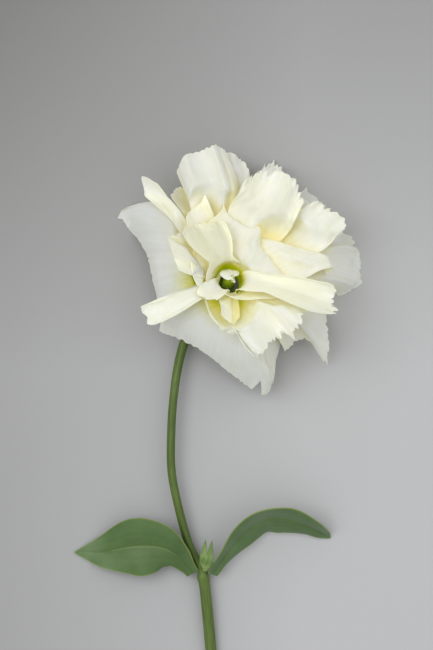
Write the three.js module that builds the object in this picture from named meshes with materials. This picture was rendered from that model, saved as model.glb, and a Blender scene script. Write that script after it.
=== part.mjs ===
// A cut double lisianthus (prairie gentian) lying face up on a flat surface. Millimetres, +Z up.
//
// The bloom is laid out on spheres round its heart, the point where the petals meet the receptacle.
// A place in it is a distance from the heart, an opening angle from the bloom's axis and a heading
// round that axis. Petals are laid from the inside out. Each one follows its own shape until a petal
// inside it is in the way, and is pushed open by that one, so thin petals nest without touching.
import * as THREE from "three";

const DEG = Math.PI / 180;

// ---- Driving dimensions ----------------------------------------------------------------------

const HEART_X = 3; // heart of the bloom, over the drawing's own origin
const HEART_Y = 2;
const HEART_HEIGHT = 15; // and above the surface that the flower lies on
const FACE_TILT = 20 * DEG; // how far the bloom's axis leans from straight up
const FACE_TURN = 45 * DEG; // which way it leans, from +X towards +Y

const PETAL_THICKNESS = 0.5;
const PETAL_SPACING = 1.4; // between the middles of two nested petals, out where they ruffle
const CLAW_SPACING = 0.85; // the same at the narrow bases of the petals, which are smooth
const CLAW_DISTANCE = 5.8; // where the petals' bases start
const CLAW_WIDTH = 2.8; // width of a petal at its base
const CLAW_END = 8; // distance from the heart where a petal starts to spread
const RUFFLE_START = 20; // and where it starts to ruffle
const THROAT_RADIUS = 4.3; // radius of the tube that the innermost petals make

const PISTIL_FOOT = 2.7; // above the heart
const OVARY_RADIUS = 1.9;
const OVARY_LENGTH = 8;
const STYLE_RADIUS = 0.5;
const STYLE_LENGTH = 2;
const STIGMA_RADIUS = 1.1;

const SEPAL_COUNT = 5;
const SEPAL_LENGTH = 23; // tip from the heart
const SEPAL_WIDTH = 3.4;
const SEPAL_THICKNESS = 0.7;
const SEPAL_HEADING = 57 * DEG; // of the first one; the stem leaves between two of them

const STEM_RADIUS = 1.85; // below the leaves
const STALK_RADIUS = 1.4; // above the leaves
const NODE_RADIUS = 2.1; // swelling where the leaves grow out
const NECK_RADIUS = 1.6; // under the bloom
const STEM_CUT_SLANT = 35 * DEG; // the florist's slanting cut

const LEAF_THICKNESS = 0.6;
const LEAF_KEEL = 0.12; // how far a leaf is folded along its midrib, for each unit of half width
const LEFT_LEAF_WIDTH = 20;
const RIGHT_LEAF_WIDTH = 17;

const SHOOT_LENGTH = 12; // tiny forked shoot in the leaves' axil
const SHOOT_FORK = 6;
const SHOOT_WIDTH = 4.4;
const SHOOT_THICKNESS = 0.5;

// ---- Colours -----------------------------------------------------------------------------------

const plain = (color, roughness) => new THREE.MeshStandardMaterial({ color, roughness, metalness: 0 });
const PETAL = plain("#eef0e2", 0.6);
const SEPAL = plain("#6d8340", 0.6);
const STEM = plain("#51682b", 0.5);
const LEAF = plain("#4c6438", 0.55);
const PISTIL = plain("#9aa82c", 0.5);

// ---- Small helpers -----------------------------------------------------------------------------

const clamp = (x, low, high) => Math.min(high, Math.max(low, x));
const smooth = (low, high, x) => {
  const t = clamp((x - low) / (high - low), 0, 1);
  return t * t * (3 - 2 * t);
};
const softMax = (a, b, soft) => (a + b + Math.hypot(a - b, soft)) / 2;
const at = (x, y, z) => new THREE.Vector3(x, y, z);

// A closed mesh from rings of points, each ring anticlockwise when looked at from the last one.
function loft(rings) {
  const n = rings[0].length;
  const points = rings.flat();
  const faces = [];
  for (let i = 0; i + 1 < rings.length; i++) {
    for (let j = 0; j < n; j++) {
      const a = i * n + j;
      const b = i * n + ((j + 1) % n);
      faces.push(a, b, b + n, a, b + n, a + n);
    }
  }
  const last = (rings.length - 1) * n;
  for (let j = 1; j + 1 < n; j++) {
    faces.push(0, j + 1, j);
    faces.push(last, last + j, last + j + 1);
  }
  const geometry = new THREE.BufferGeometry().setFromPoints(points);
  geometry.setIndex(faces);
  geometry.computeVertexNormals();
  return geometry;
}

// A thin closed sheet round a surface given as rows of points.
function sheet(rows, thickness) {
  const grid = rows.flat();
  const along = rows.length - 1;
  const across = rows[0].length - 1;
  const cell = (i, j) => grid[clamp(i, 0, along) * (across + 1) + clamp(j, 0, across)];
  const points = [];
  for (const side of [1, -1]) {
    for (let i = 0; i <= along; i++) {
      for (let j = 0; j <= across; j++) {
        const outward = cell(i + 1, j).clone().sub(cell(i - 1, j));
        const sideways = cell(i, j + 1).clone().sub(cell(i, j - 1));
        const normal = outward.cross(sideways).normalize();
        points.push(cell(i, j).clone().addScaledVector(normal, (side * thickness) / 2));
      }
    }
  }
  const back = grid.length;
  const id = (i, j) => i * (across + 1) + j;
  const faces = [];
  for (let i = 0; i < along; i++) {
    for (let j = 0; j < across; j++) {
      const [a, b, c, d] = [id(i, j), id(i + 1, j), id(i + 1, j + 1), id(i, j + 1)];
      faces.push(a, b, c, a, c, d, back + a, back + c, back + b, back + a, back + d, back + c);
    }
  }
  const rim = [];
  for (let i = 0; i < along; i++) rim.push(id(i, 0));
  for (let j = 0; j < across; j++) rim.push(id(along, j));
  for (let i = along; i > 0; i--) rim.push(id(i, across));
  for (let j = across; j > 0; j--) rim.push(id(0, j));
  rim.forEach((p, k) => {
    const q = rim[(k + 1) % rim.length];
    faces.push(p, back + p, back + q, p, back + q, q);
  });
  const geometry = new THREE.BufferGeometry().setFromPoints(points);
  geometry.setIndex(faces);
  geometry.computeVertexNormals();
  return geometry;
}

// ---- The bloom's own frame ---------------------------------------------------------------------

const HEART = at(HEART_X, HEART_Y, HEART_HEIGHT);
const AXIS = at(
  Math.sin(FACE_TILT) * Math.cos(FACE_TURN),
  Math.sin(FACE_TILT) * Math.sin(FACE_TURN),
  Math.cos(FACE_TILT),
);
const RIGHT = at(1, 0, 0).addScaledVector(AXIS, -AXIS.x).normalize();
const AHEAD = AXIS.clone().cross(RIGHT);

function fromHeart(distance, open, heading) {
  return HEART.clone()
    .addScaledVector(AXIS, distance * Math.cos(open))
    .addScaledVector(RIGHT, distance * Math.sin(open) * Math.cos(heading))
    .addScaledVector(AHEAD, distance * Math.sin(open) * Math.sin(heading));
}

const onAxis = (height, radius, heading) =>
  HEART.clone()
    .addScaledVector(AXIS, height)
    .addScaledVector(RIGHT, radius * Math.cos(heading))
    .addScaledVector(AHEAD, radius * Math.sin(heading));

// A turned solid on the bloom's axis, from [radius, height] pairs that start and end on the axis.
function turned(profile, sides) {
  const geometry = new THREE.LatheGeometry(profile.map(([r, h]) => new THREE.Vector2(r, h)), sides);
  const turn = new THREE.Matrix4().makeBasis(RIGHT, AXIS, RIGHT.clone().cross(AXIS));
  return geometry.applyMatrix4(turn.setPosition(HEART));
}

// ---- Crowding: how far open the petals already laid push the next one --------------------------

const RING_STEP = 1.2;
const RINGS = 48;
const SPOKES = 120;
const SPOKE = (2 * Math.PI) / SPOKES;
const SLOPE_ROUND = 0.9; // steepest that a pushed petal climbs, sideways
const SLOPE_OUT = 1.1; // and outwards

const crowd = new Float32Array(RINGS * SPOKES);
const cellOf = (ring, spoke) => clamp(ring, 0, RINGS - 1) * SPOKES + ((spoke % SPOKES) + SPOKES) % SPOKES;

function crowdAt(distance, heading) {
  const x = clamp((distance - CLAW_DISTANCE) / RING_STEP, 0, RINGS - 1.001);
  const y = heading / SPOKE;
  const [i, j] = [Math.floor(x), Math.floor(y)];
  const [s, t] = [x - i, y - j];
  const low = crowd[cellOf(i, j)] * (1 - t) + crowd[cellOf(i, j + 1)] * t;
  const high = crowd[cellOf(i + 1, j)] * (1 - t) + crowd[cellOf(i + 1, j + 1)] * t;
  return low * (1 - s) + high * s;
}

// Keeps a place on a laid petal, and the space that the next one needs over it.
function pressOn(distance, open, heading) {
  const spacing = CLAW_SPACING + (PETAL_SPACING - CLAW_SPACING) * smooth(CLAW_END, RUFFLE_START, distance);
  const x = (distance - CLAW_DISTANCE) / RING_STEP;
  const y = heading / SPOKE;
  for (const i of [Math.floor(x), Math.ceil(x)]) {
    for (const j of [Math.floor(y), Math.ceil(y)]) {
      const cell = cellOf(i, j);
      crowd[cell] = Math.max(crowd[cell], open + spacing / distance);
    }
  }
}

function addToCrowd(rows) {
  for (let i = 0; i + 1 < rows.length; i++) {
    for (let j = 0; j + 1 < rows[i].length; j++) {
      for (let s = 0; s <= 1; s += 0.2) {
        for (let t = 0; t <= 1; t += 0.2) {
          const mix = (k) =>
            (rows[i][j][k] * (1 - t) + rows[i][j + 1][k] * t) * (1 - s) +
            (rows[i + 1][j][k] * (1 - t) + rows[i + 1][j + 1][k] * t) * s;
          pressOn(mix(0), mix(1), mix(2));
        }
      }
    }
  }
  const pull = (to, from, drop) => (crowd[to] = Math.max(crowd[to], crowd[from] - drop));
  for (let i = 0; i < RINGS; i++) {
    for (let j = 0; j < 2 * SPOKES; j++) pull(cellOf(i, j), cellOf(i, j - 1), SLOPE_ROUND * SPOKE);
    for (let j = 2 * SPOKES; j > 0; j--) pull(cellOf(i, j - 1), cellOf(i, j), SLOPE_ROUND * SPOKE);
  }
  for (let j = 0; j < SPOKES; j++) {
    const drop = (i) => (SLOPE_OUT * RING_STEP) / (CLAW_DISTANCE + i * RING_STEP);
    for (let i = 1; i < RINGS; i++) pull(cellOf(i, j), cellOf(i - 1, j), drop(i));
    for (let i = RINGS - 1; i > 0; i--) pull(cellOf(i - 1, j), cellOf(i, j), drop(i));
  }
}

// ---- Petals ------------------------------------------------------------------------------------

// rim: five places on the petal's outer rim seen from above, from its clockwise to its other corner.
// open: how far the petal opens from the bloom's axis, in degrees. back: how far its tip bends back.
// cup: how far its side edges stand inwards (minus) or outwards. twist: one edge against the other.
// roll: how far the clockwise and the other edge curl back. wave: height, waves across and phase.
const PETALS = [
  {
    name: "inner_petal_1", open: 38, cup: -8, back: 8,
    rim: [[-2, 4], [-4, 3], [-5, 0], [-3, -2], [0, -3]],
  },
  { name: "inner_petal_2", open: 24, cup: -4, rim: [[9, 6], [8, 8], [6, 10], [3, 9], [1, 7]] },
  {
    name: "inner_petal_3", open: 54, cup: -6, wave: [3, 2, 0.5],
    rim: [[7, 24], [2, 24], [-5, 23], [-10, 20], [-13, 16]],
  },
  {
    name: "inner_petal_4", open: 50, cup: -8,
    rim: [[34, -8], [40, -8], [39, -3], [40, 2], [37, 4]],
  },
  {
    name: "inner_petal_5", open: 30, back: 20,
    rim: [[30, 5], [23, 11], [17, 17], [12, 23], [7, 29]],
  },
  {
    name: "inner_petal_6", open: 50, cup: -12, back: 6,
    rim: [[2, -8], [5, -11], [6, -11], [8, -9], [8, -6]],
  },
  {
    name: "inner_petal_7", open: 54, cup: -12, wave: [4, 2, 1],
    rim: [[10, -18], [14, -20], [22, -16], [27, -12], [32, -3]],
  },
  {
    name: "middle_petal_1", open: 48, back: 14,
    rim: [[41, 9], [39, 13], [32, 15], [25, 17], [18, 19]],
  },
  {
    name: "middle_petal_2", open: 62, cup: -6, wave: [3, 2, 0],
    rim: [[30, 31], [28, 37], [22, 41], [16, 41], [10, 38]],
  },
  {
    name: "middle_petal_3", open: 64, cup: -4, wave: [3, 2, 2],
    rim: [[43, 20], [44, 24], [39, 29], [34, 31], [30, 29]],
  },
  {
    name: "middle_petal_4", open: 66, cup: -6,
    rim: [[-2, 29], [-3, 31], [-6, 29], [-9, 27], [-10, 25]],
  },
  {
    name: "middle_petal_5", open: 66, cup: -6, wave: [3, 2, 4],
    rim: [[-10, 20], [-15, 19], [-16, 18], [-14, 13], [-12, 8]],
  },
  {
    name: "outer_petal_1", open: 68, cup: 4, back: 6, wave: [3, 2, 1],
    rim: [[3, 49], [0, 50], [-5, 48], [-10, 46], [-13, 41]],
  },
  {
    name: "outer_petal_2", open: 76, back: 6, wave: [3, 2, 3],
    rim: [[12, 41], [11, 44], [8, 47], [5, 48], [1, 48]],
  },
  {
    name: "outer_petal_3", open: 80, cup: -12,
    rim: [[-19, 36], [-23, 38], [-24, 35], [-23, 32], [-19, 30]],
  },
  {
    name: "outer_petal_4", open: 84, cup: -6,
    rim: [[-9, 35], [-11, 36], [-13, 36], [-14, 35], [-15, 33]],
  },
  {
    name: "outer_petal_5", open: 78, back: 7, wave: [3, 2, 2],
    rim: [[28, 36], [23, 44], [19, 45], [14, 42], [10, 40]],
  },
  {
    name: "outer_petal_6", open: 88, back: 16, wave: [3, 2, 0],
    rim: [[41, 30], [36, 32], [32, 36], [29, 35], [26, 36]],
  },
  {
    name: "outer_petal_7", open: 82, back: 20, wave: [3, 2, 1],
    rim: [[41, -1], [48, 1], [52, 7], [50, 15], [47, 21]],
  },
  {
    name: "outer_petal_8", open: 82, back: 10, cup: 6, wave: [4, 2, 2],
    rim: [[24, -20], [31, -16], [38, -23], [39, -13], [39, -2]],
  },
  {
    name: "outer_petal_9", open: 92, cup: -14,
    rim: [[-19, -3], [-25, -5], [-24, -8], [-22, -11], [-18, -10]],
  },
  {
    name: "outer_petal_10", open: 88, back: 20, cup: 6, wave: [3, 2, 1],
    rim: [[-19, -13], [-4, -20], [11, -32], [19, -34], [21, -20]],
  },
  {
    name: "outer_petal_11", open: 94, back: 22, roll: [0, 14], wave: [3, 2, 2],
    rim: [[-13, 28], [-21, 30], [-33, 28], [-24, 14], [-19, -6]],
  },
];

const PETAL_DEFAULTS = { cup: 0, twist: 0, roll: [0, 0], back: 0, wave: [0, 1, 0] };
const OPENING = 1.6; // above 1, a petal bends open early and then runs straight
const TUBE_SOFTNESS = 0.1; // how softly it leaves the throat's tube
const LEAST_OPEN = 0.12; // smallest opening of any place on a petal
const LEAST_SPREAD = 0.2; // smallest opening that its width is wrapped round
const SETTLING = 0.03; // how softly a petal comes to rest on the one inside it
const ROW_STEP = 2.2; // length of a petal for each of its rows, and width for each of its columns
const MOST_ROWS = 12;
const MOST_COLUMNS = 10;
const FEWEST = 4; // rows or columns
const SHORTEST = CLAW_DISTANCE + 4; // shortest petal, from the heart
const LONGEST = 56; // and the longest one
const ROUNDS = 30; // of finding where a settled rim has to be
const EASE = 0.7; // part of the way gone in each of them

// The place on the rim at v, from -1 to 1, on a smooth line through its five places.
function onRim(rim, v) {
  const s = clamp((v + 1) * 2, 0, 3.999);
  const k = Math.floor(s);
  const t = s - k;
  const p = (i) => rim[clamp(k + i, 0, 4)];
  return [0, 1].map((c) => {
    const [a, b, d, e] = [p(-1)[c], p(0)[c], p(1)[c], p(2)[c]];
    return b + 0.5 * t * (d - a + t * (2 * a - 5 * b + 4 * d - e + t * (3 * (b - d) + e - a)));
  });
}

// (u, v) on a petal to its distance, opening and heading, before its neighbours push it.
function petalShape(row) {
  const p = { ...PETAL_DEFAULTS, ...row };
  const spineAt = (distance, u) => {
    const tube = Math.asin(Math.min(1, THROAT_RADIUS / distance));
    const flare = p.open * DEG * (1 - (1 - u) ** OPENING);
    return softMax(tube, flare, TUBE_SOFTNESS) + p.back * DEG * u ** 3;
  };
  const bendAt = (u, v) => {
    const edge = v < 0 ? p.roll[0] : p.roll[1];
    const cupped = p.cup * v * v * smooth(0, 0.7, u) + p.twist * v * u;
    const rolled = edge * smooth(0.5, 1, Math.abs(v)) * smooth(0.2, 0.7, u);
    return (cupped + rolled + p.wave[0] * u * u * Math.sin(Math.PI * p.wave[1] * v + p.wave[2])) * DEG;
  };
  // How far out, and towards which heading, the rim is at v once the petal has settled.
  const solve = (v) => {
    const [x, y] = onRim(p.rim, v);
    const reach = Math.hypot(x - HEART_X, y - HEART_Y);
    const towards = Math.atan2(y - HEART_Y, x - HEART_X);
    let heading = towards;
    let distance = reach;
    for (let k = 0; k < ROUNDS; k++) {
      const own = Math.max(spineAt(distance, 1) + bendAt(1, v), LEAST_OPEN);
      const open = softMax(own, crowdAt(distance, heading), SETTLING);
      const ray = fromHeart(1, open, heading).sub(HEART);
      const off = towards - Math.atan2(ray.y, ray.x);
      heading += EASE * Math.atan2(Math.sin(off), Math.cos(off));
      const wanted = clamp(reach / Math.hypot(ray.x, ray.y), SHORTEST, LONGEST);
      distance += EASE * (wanted - distance);
    }
    return [distance, heading];
  };
  const known = new Map();
  const rimAt = (v) => {
    if (!known.has(v)) known.set(v, solve(v));
    return known.get(v);
  };
  const middle = rimAt(0)[1];
  const halfAt = (v) => {
    const [distance, heading] = rimAt(v);
    const off = Math.atan2(Math.sin(heading - middle), Math.cos(heading - middle));
    return off * distance * Math.sin(Math.max(spineAt(distance, 1), LEAST_SPREAD));
  };
  const shape = (u, v) => {
    const distance = CLAW_DISTANCE + (rimAt(v)[0] - CLAW_DISTANCE) * u;
    const spine = spineAt(distance, u);
    const claw = (CLAW_WIDTH / 2) * v;
    const half = claw + (halfAt(v) - claw) * smooth(0.05, 0.85, u);
    const heading = middle + half / (distance * Math.sin(Math.max(spine, LEAST_SPREAD)));
    return [distance, Math.max(spine + bendAt(u, v), LEAST_OPEN), heading];
  };
  const length = rimAt(0)[0] - CLAW_DISTANCE;
  const width = Math.abs(halfAt(1) - halfAt(-1));
  shape.rows = clamp(Math.round(length / ROW_STEP), FEWEST, MOST_ROWS);
  shape.columns = clamp(Math.round(width / ROW_STEP), FEWEST, MOST_COLUMNS);
  return shape;
}

// Lays a petal or sepal on those already laid, which push it open, and gives rows of its places.
function laid(shape, along, across) {
  const rows = [];
  for (let i = 0; i <= along; i++) {
    rows.push([]);
    for (let j = 0; j <= across; j++) {
      let pushed = 0;
      for (const di of [-0.5, 0, 0.5]) {
        for (const dj of [-0.5, 0, 0.5]) {
          const near = shape(clamp((i + di) / along, 0, 1), clamp((2 * (j + dj)) / across - 1, -1, 1));
          pushed = Math.max(pushed, crowdAt(near[0], near[2]));
        }
      }
      const [distance, open, heading] = shape(i / along, (2 * j) / across - 1);
      rows[i].push([distance, softMax(open, pushed, SETTLING), heading]);
    }
  }
  addToCrowd(rows);
  return rows.map((row) => row.map((place) => fromHeart(...place)));
}

// The lowest petals lie on the surface instead of going through it.
const LIE_SOFTNESS = 1.5;
function lying(rows, thickness) {
  for (const place of rows.flat()) place.z = softMax(place.z, thickness / 2, LIE_SOFTNESS);
  return rows;
}

const flower = new THREE.Group();

function add(name, geometry, material) {
  const mesh = new THREE.Mesh(geometry, material);
  mesh.name = name;
  flower.add(mesh);
}

for (const row of PETALS) {
  const shape = petalShape(row);
  const rows = lying(laid(shape, shape.rows, shape.columns), PETAL_THICKNESS);
  add(row.name, sheet(rows, PETAL_THICKNESS), PETAL);
}

// ---- Calyx and pistil --------------------------------------------------------------------------

const SEPAL_OPEN = 96 * DEG; // the petals push the sepals further
const SEPAL_TIP_WIDTH = 0.25; // of the full width

function sepalShape(turn) {
  return (u, v) => {
    const distance = CLAW_DISTANCE + (SEPAL_LENGTH - CLAW_DISTANCE) * u;
    const taper = 1 - (1 - SEPAL_TIP_WIDTH) * u * u;
    return [distance, SEPAL_OPEN, turn + (SEPAL_WIDTH * taper * v) / 2 / distance];
  };
}

for (let k = 0; k < SEPAL_COUNT; k++) {
  const rows = laid(sepalShape(SEPAL_HEADING + (k * 2 * Math.PI) / SEPAL_COUNT), 8, 2);
  add(`sepal_${k + 1}`, sheet(lying(rows, SEPAL_THICKNESS), SEPAL_THICKNESS), SEPAL);
}

const styleFoot = PISTIL_FOOT + OVARY_LENGTH;
const stigma = styleFoot + STYLE_LENGTH;
const PISTIL_PROFILE = [
  [0, PISTIL_FOOT],
  [OVARY_RADIUS * 0.75, PISTIL_FOOT],
  [OVARY_RADIUS, PISTIL_FOOT + OVARY_LENGTH * 0.3],
  [OVARY_RADIUS * 0.8, PISTIL_FOOT + OVARY_LENGTH * 0.75],
  [STYLE_RADIUS, styleFoot],
  [STYLE_RADIUS, stigma],
  [STIGMA_RADIUS, stigma + STIGMA_RADIUS * 0.6],
  [STIGMA_RADIUS * 0.7, stigma + STIGMA_RADIUS * 1.2],
  [0, stigma + STIGMA_RADIUS * 1.4],
];
add("pistil", turned(PISTIL_PROFILE, 10), PISTIL);

// ---- Stem, with the receptacle that it ends in -------------------------------------------------

// Middle of the stem from the cut to the neck, and its radius there.
const STEM_ROUTE = [
  [-0.3, -141.5, STEM_RADIUS, STEM_RADIUS],
  [-0.8, -131, STEM_RADIUS + 0.1, STEM_RADIUS],
  [-1.6, -121, 2.3, STEM_RADIUS],
  [-2.7, -109, 3.1, STEM_RADIUS],
  [-3.6, -100.5, 3.7, STEM_RADIUS],
  [-4.1, -97.6, 3.9, NODE_RADIUS],
  [-4.8, -94.8, 4.1, STALK_RADIUS + 0.1],
  [-9.2, -85.7, 4.5, STALK_RADIUS],
  [-12.9, -72.1, 5, STALK_RADIUS],
  [-15, -60.2, 5.4, STALK_RADIUS],
  [-15, -46.6, 5.6, STALK_RADIUS],
  [-14.3, -36.4, 5.5, STALK_RADIUS],
  [-12.9, -26.2, 5.2, STALK_RADIUS + 0.1],
  [-10.5, -16.7, 4.6, NECK_RADIUS],
  [-6.6, -9, 3.9, NECK_RADIUS],
  [-2.6, -3.6, 4, NECK_RADIUS],
];

// The receptacle: height above the heart along the bloom's axis, and radius.
const RECEPTACLE = [
  [-7.5, NECK_RADIUS],
  [-6, NECK_RADIUS],
  [-4.2, 1.9],
  [-2.4, 2.6],
  [-0.6, 3.3],
  [1, 3.3],
  [2, 3.1],
  [2.3, 2.6],
];

const STEM_SIDES = 12;
const STEM_STEPS = 2; // rings for each station of the route

function tube(stations, sides) {
  const middles = stations.map(([x, y, z]) => at(x, y, z));
  const away = (k) => middles[Math.min(k + 1, middles.length - 1)].clone().sub(middles[Math.max(k - 1, 0)]);
  let side = at(1, 0, 0);
  return stations.map(([, , , radius], k) => {
    const along = away(k).normalize();
    side = side.addScaledVector(along, -side.dot(along)).normalize();
    const up = along.clone().cross(side);
    const ring = [];
    for (let j = 0; j < sides; j++) {
      const angle = (2 * Math.PI * j) / sides;
      const [across, above] = [radius * Math.cos(angle), radius * Math.sin(angle)];
      const slanted = k === 0 ? above * Math.tan(STEM_CUT_SLANT) : 0;
      const point = middles[k].clone().addScaledVector(side, across).addScaledVector(up, above);
      ring.push(point.addScaledVector(along, slanted));
    }
    return ring;
  });
}

function smoothed(stations, steps) {
  const line = (c) => {
    const value = (k) => stations[clamp(k, 0, stations.length - 1)][c];
    return (s) => {
      const k = Math.min(Math.floor(s), stations.length - 2);
      const t = s - k;
      const [a, b, d, e] = [value(k - 1), value(k), value(k + 1), value(k + 2)];
      return b + 0.5 * t * (d - a + t * (2 * a - 5 * b + 4 * d - e + t * (3 * (b - d) + e - a)));
    };
  };
  const lines = stations[0].map((_, c) => line(c));
  const count = (stations.length - 1) * steps;
  return Array.from({ length: count + 1 }, (_, i) => lines.map((value) => value(i / steps)));
}

const receptacle = RECEPTACLE.map(([height, radius]) => [...onAxis(height, 0, 0).toArray(), radius]);
const stem = [...smoothed([...STEM_ROUTE, receptacle[0]], STEM_STEPS), ...receptacle.slice(1)];
add("stem", loft(tube(stem, STEM_SIDES)), STEM);

// ---- Leaves ------------------------------------------------------------------------------------

// Along a leaf's midrib: x, y, z, width as a part of the full one, and how far the blade is turned
// about the midrib from lying flat, in degrees.
const LEFT_LEAF = [
  [-7.6, -96.2, 4.6, 0.24, 20],
  [-9.6, -93.6, 5.4, 0.34, 34],
  [-13, -89.8, 6.6, 0.56, 24],
  [-18.7, -87.2, 7, 0.86, 10],
  [-27.2, -87, 6, 1, 0],
  [-37.4, -89, 2.6, 0.62, -4],
  [-44.5, -89.6, -0.6, 0.26, 0],
  [-48.6, -89.6, -2, 0.03, 0],
];
const RIGHT_LEAF = [
  [-0.9, -96.6, 4.6, 0.22, -30],
  [2.4, -91.2, 7, 0.4, -46],
  [8.5, -83.4, 8.4, 0.72, -52],
  [16, -77.4, 9, 0.96, -54],
  [23.8, -76.8, 8.4, 0.94, -54],
  [32.3, -79.9, 6.4, 0.66, -50],
  [37.2, -82.8, 2.6, 0.3, -40],
  [39.8, -84.6, -1, 0.04, -20],
];

function leafRows(stations, width, steps, across) {
  const line = smoothed(stations, steps);
  return line.map(([x, y, z, part, turn], i) => {
    const before = line[Math.max(i - 1, 0)];
    const after = line[Math.min(i + 1, line.length - 1)];
    const along = at(after[0] - before[0], after[1] - before[1], after[2] - before[2]).normalize();
    const level = along.clone().cross(at(0, 0, 1)).normalize();
    const upright = level.clone().cross(along);
    const side = level.multiplyScalar(Math.cos(turn * DEG)).addScaledVector(upright, Math.sin(turn * DEG));
    const face = side.clone().cross(along);
    return Array.from({ length: across + 1 }, (_, j) => {
      const v = 1 - (2 * j) / across;
      const half = (width * part) / 2;
      const lift = LEAF_KEEL * half * Math.abs(v);
      return at(x, y, z).addScaledVector(side, half * v).addScaledVector(face, lift);
    });
  });
}

const LEAF_STEPS = 2; // rows for each station
const LEAF_COLUMNS = 4;
function leaf(stations, width) {
  const rows = leafRows(stations, width, LEAF_STEPS, LEAF_COLUMNS);
  return sheet(lying(rows, LEAF_THICKNESS), LEAF_THICKNESS);
}
add("left_leaf", leaf(LEFT_LEAF, LEFT_LEAF_WIDTH), LEAF);
add("right_leaf", leaf(RIGHT_LEAF, RIGHT_LEAF_WIDTH), LEAF);

// A single small blade that forks into two pointed leaflets.
const SHOOT_FOOT = at(-3.5, -95.2, 7.4);
const SHOOT_TOWARDS = at(0.12, 0.93, 0.35).normalize();
function shootRows(along, across) {
  const aside = SHOOT_TOWARDS.clone().cross(at(0, 0, 1)).normalize();
  return Array.from({ length: along + 1 }, (_, i) =>
    Array.from({ length: across + 1 }, (_, j) => {
      const v = 1 - (2 * j) / across;
      const fork = 1 - Math.abs(2 * Math.abs(v) - 1);
      const reach = SHOOT_FORK + (SHOOT_LENGTH - SHOOT_FORK) * fork;
      const spread = (SHOOT_WIDTH / 2) * v * (0.3 + 0.7 * smooth(0, 0.6, i / along));
      const point = SHOOT_FOOT.clone().addScaledVector(SHOOT_TOWARDS, (reach * i) / along);
      return point.addScaledVector(aside, spread);
    }),
  );
}
add("axillary_shoot", sheet(shootRows(5, 4), SHOOT_THICKNESS), LEAF);

// ---- Origin: under the middle of the bounding box ----------------------------------------------

const box = new THREE.Box3().setFromObject(flower);
const middle = box.getCenter(at(0, 0, 0));
for (const mesh of flower.children) mesh.geometry.translate(-middle.x, -middle.y, -box.min.z);

export default flower;
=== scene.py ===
"""A cut double lisianthus lying face up, made round its CAD frame. Metres, +Z up."""

import math

import bpy
import numpy as np
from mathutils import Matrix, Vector, noise
from mathutils.bvhtree import BVHTree


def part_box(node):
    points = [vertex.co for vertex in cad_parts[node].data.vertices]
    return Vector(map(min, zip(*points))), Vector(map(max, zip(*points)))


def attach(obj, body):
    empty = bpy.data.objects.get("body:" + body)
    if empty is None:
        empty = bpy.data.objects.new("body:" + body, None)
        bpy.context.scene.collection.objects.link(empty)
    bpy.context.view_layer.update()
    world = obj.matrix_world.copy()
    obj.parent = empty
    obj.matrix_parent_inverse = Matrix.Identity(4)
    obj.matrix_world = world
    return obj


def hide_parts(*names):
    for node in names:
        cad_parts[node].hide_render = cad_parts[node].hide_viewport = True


bl_info = {
    "name": "Cut lisianthus",
    "version": (1, 0, 0),
    "blender": (4, 5, 0),
    "location": "View3D > Sidebar > Lisianthus",
    "description": "Builds a cut double lisianthus round its CAD frame",
    "category": "Object",
}

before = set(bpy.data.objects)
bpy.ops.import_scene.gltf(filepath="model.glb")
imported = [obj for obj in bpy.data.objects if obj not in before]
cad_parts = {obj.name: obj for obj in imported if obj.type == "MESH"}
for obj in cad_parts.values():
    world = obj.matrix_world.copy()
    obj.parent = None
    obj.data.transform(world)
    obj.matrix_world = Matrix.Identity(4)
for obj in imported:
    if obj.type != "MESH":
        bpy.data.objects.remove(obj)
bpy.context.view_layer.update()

MM = 0.001
DEG = math.pi / 180

# ---- Where things are, from the frame --------------------------------------------------------

# The heart is the point that every petal grows from. The pistil stands on it, and the middle of
# the pistil's box is this far from it, in millimetres.
PISTIL_FROM_HEART = np.array([1.792, 1.785, 7.745])
PISTIL_BOX = np.array([list(corner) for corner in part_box("pistil")])
HEART = PISTIL_BOX.mean(axis=0) / MM - PISTIL_FROM_HEART
DRAWN_HEART = np.array([3.0, 2.0, 15.0])  # where the places listed below are measured from
DRAWN = HEART - DRAWN_HEART

FACE_TILT = 20 * DEG
FACE_TURN = 45 * DEG
AXIS = np.array([
    math.sin(FACE_TILT) * math.cos(FACE_TURN),
    math.sin(FACE_TILT) * math.sin(FACE_TURN),
    math.cos(FACE_TILT),
])
RIGHT = np.array([1.0, 0.0, 0.0]) - AXIS * AXIS[0]
RIGHT /= np.linalg.norm(RIGHT)
AHEAD = np.cross(AXIS, RIGHT)


def from_heart(distance, opening, heading):
    """The place that far from the heart, that far open from the axis, towards that heading."""
    distance, opening, heading = np.broadcast_arrays(distance, opening, heading)
    side = distance * np.sin(opening)
    return (
        HEART
        + (distance * np.cos(opening))[..., None] * AXIS
        + (side * np.cos(heading))[..., None] * RIGHT
        + (side * np.sin(heading))[..., None] * AHEAD
    )


def smooth(low, high, x):
    t = np.clip((x - low) / (high - low), 0, 1)
    return t * t * (3 - 2 * t)


def soft_max(a, b, soft):
    return (a + b + np.hypot(a - b, soft)) / 2


def unit(a):
    return a / np.maximum(np.linalg.norm(a, axis=-1, keepdims=True), 1e-9)


def wrapped(angle):
    return np.arctan2(np.sin(angle), np.cos(angle))


def along_columns(rows, s):
    """Smooth values at s, a row number for each column, between rows of shape (n, m, k)."""
    n = len(rows)
    longer = np.concatenate([2 * rows[:1] - rows[1:2], rows, 2 * rows[-1:] - rows[-2:-1]])
    k = np.clip(np.floor(s).astype(int), 0, n - 2)
    t = (s - k)[..., None]
    column = np.broadcast_to(np.arange(rows.shape[1]), k.shape)
    a, b, c, d = (longer[k + i, column] for i in range(4))
    return b + 0.5 * t * (c - a + t * (2 * a - 5 * b + 4 * c - d + t * (3 * (b - c) + d - a)))


# ---- The nest: how petals crowd each other open ----------------------------------------------

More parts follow.
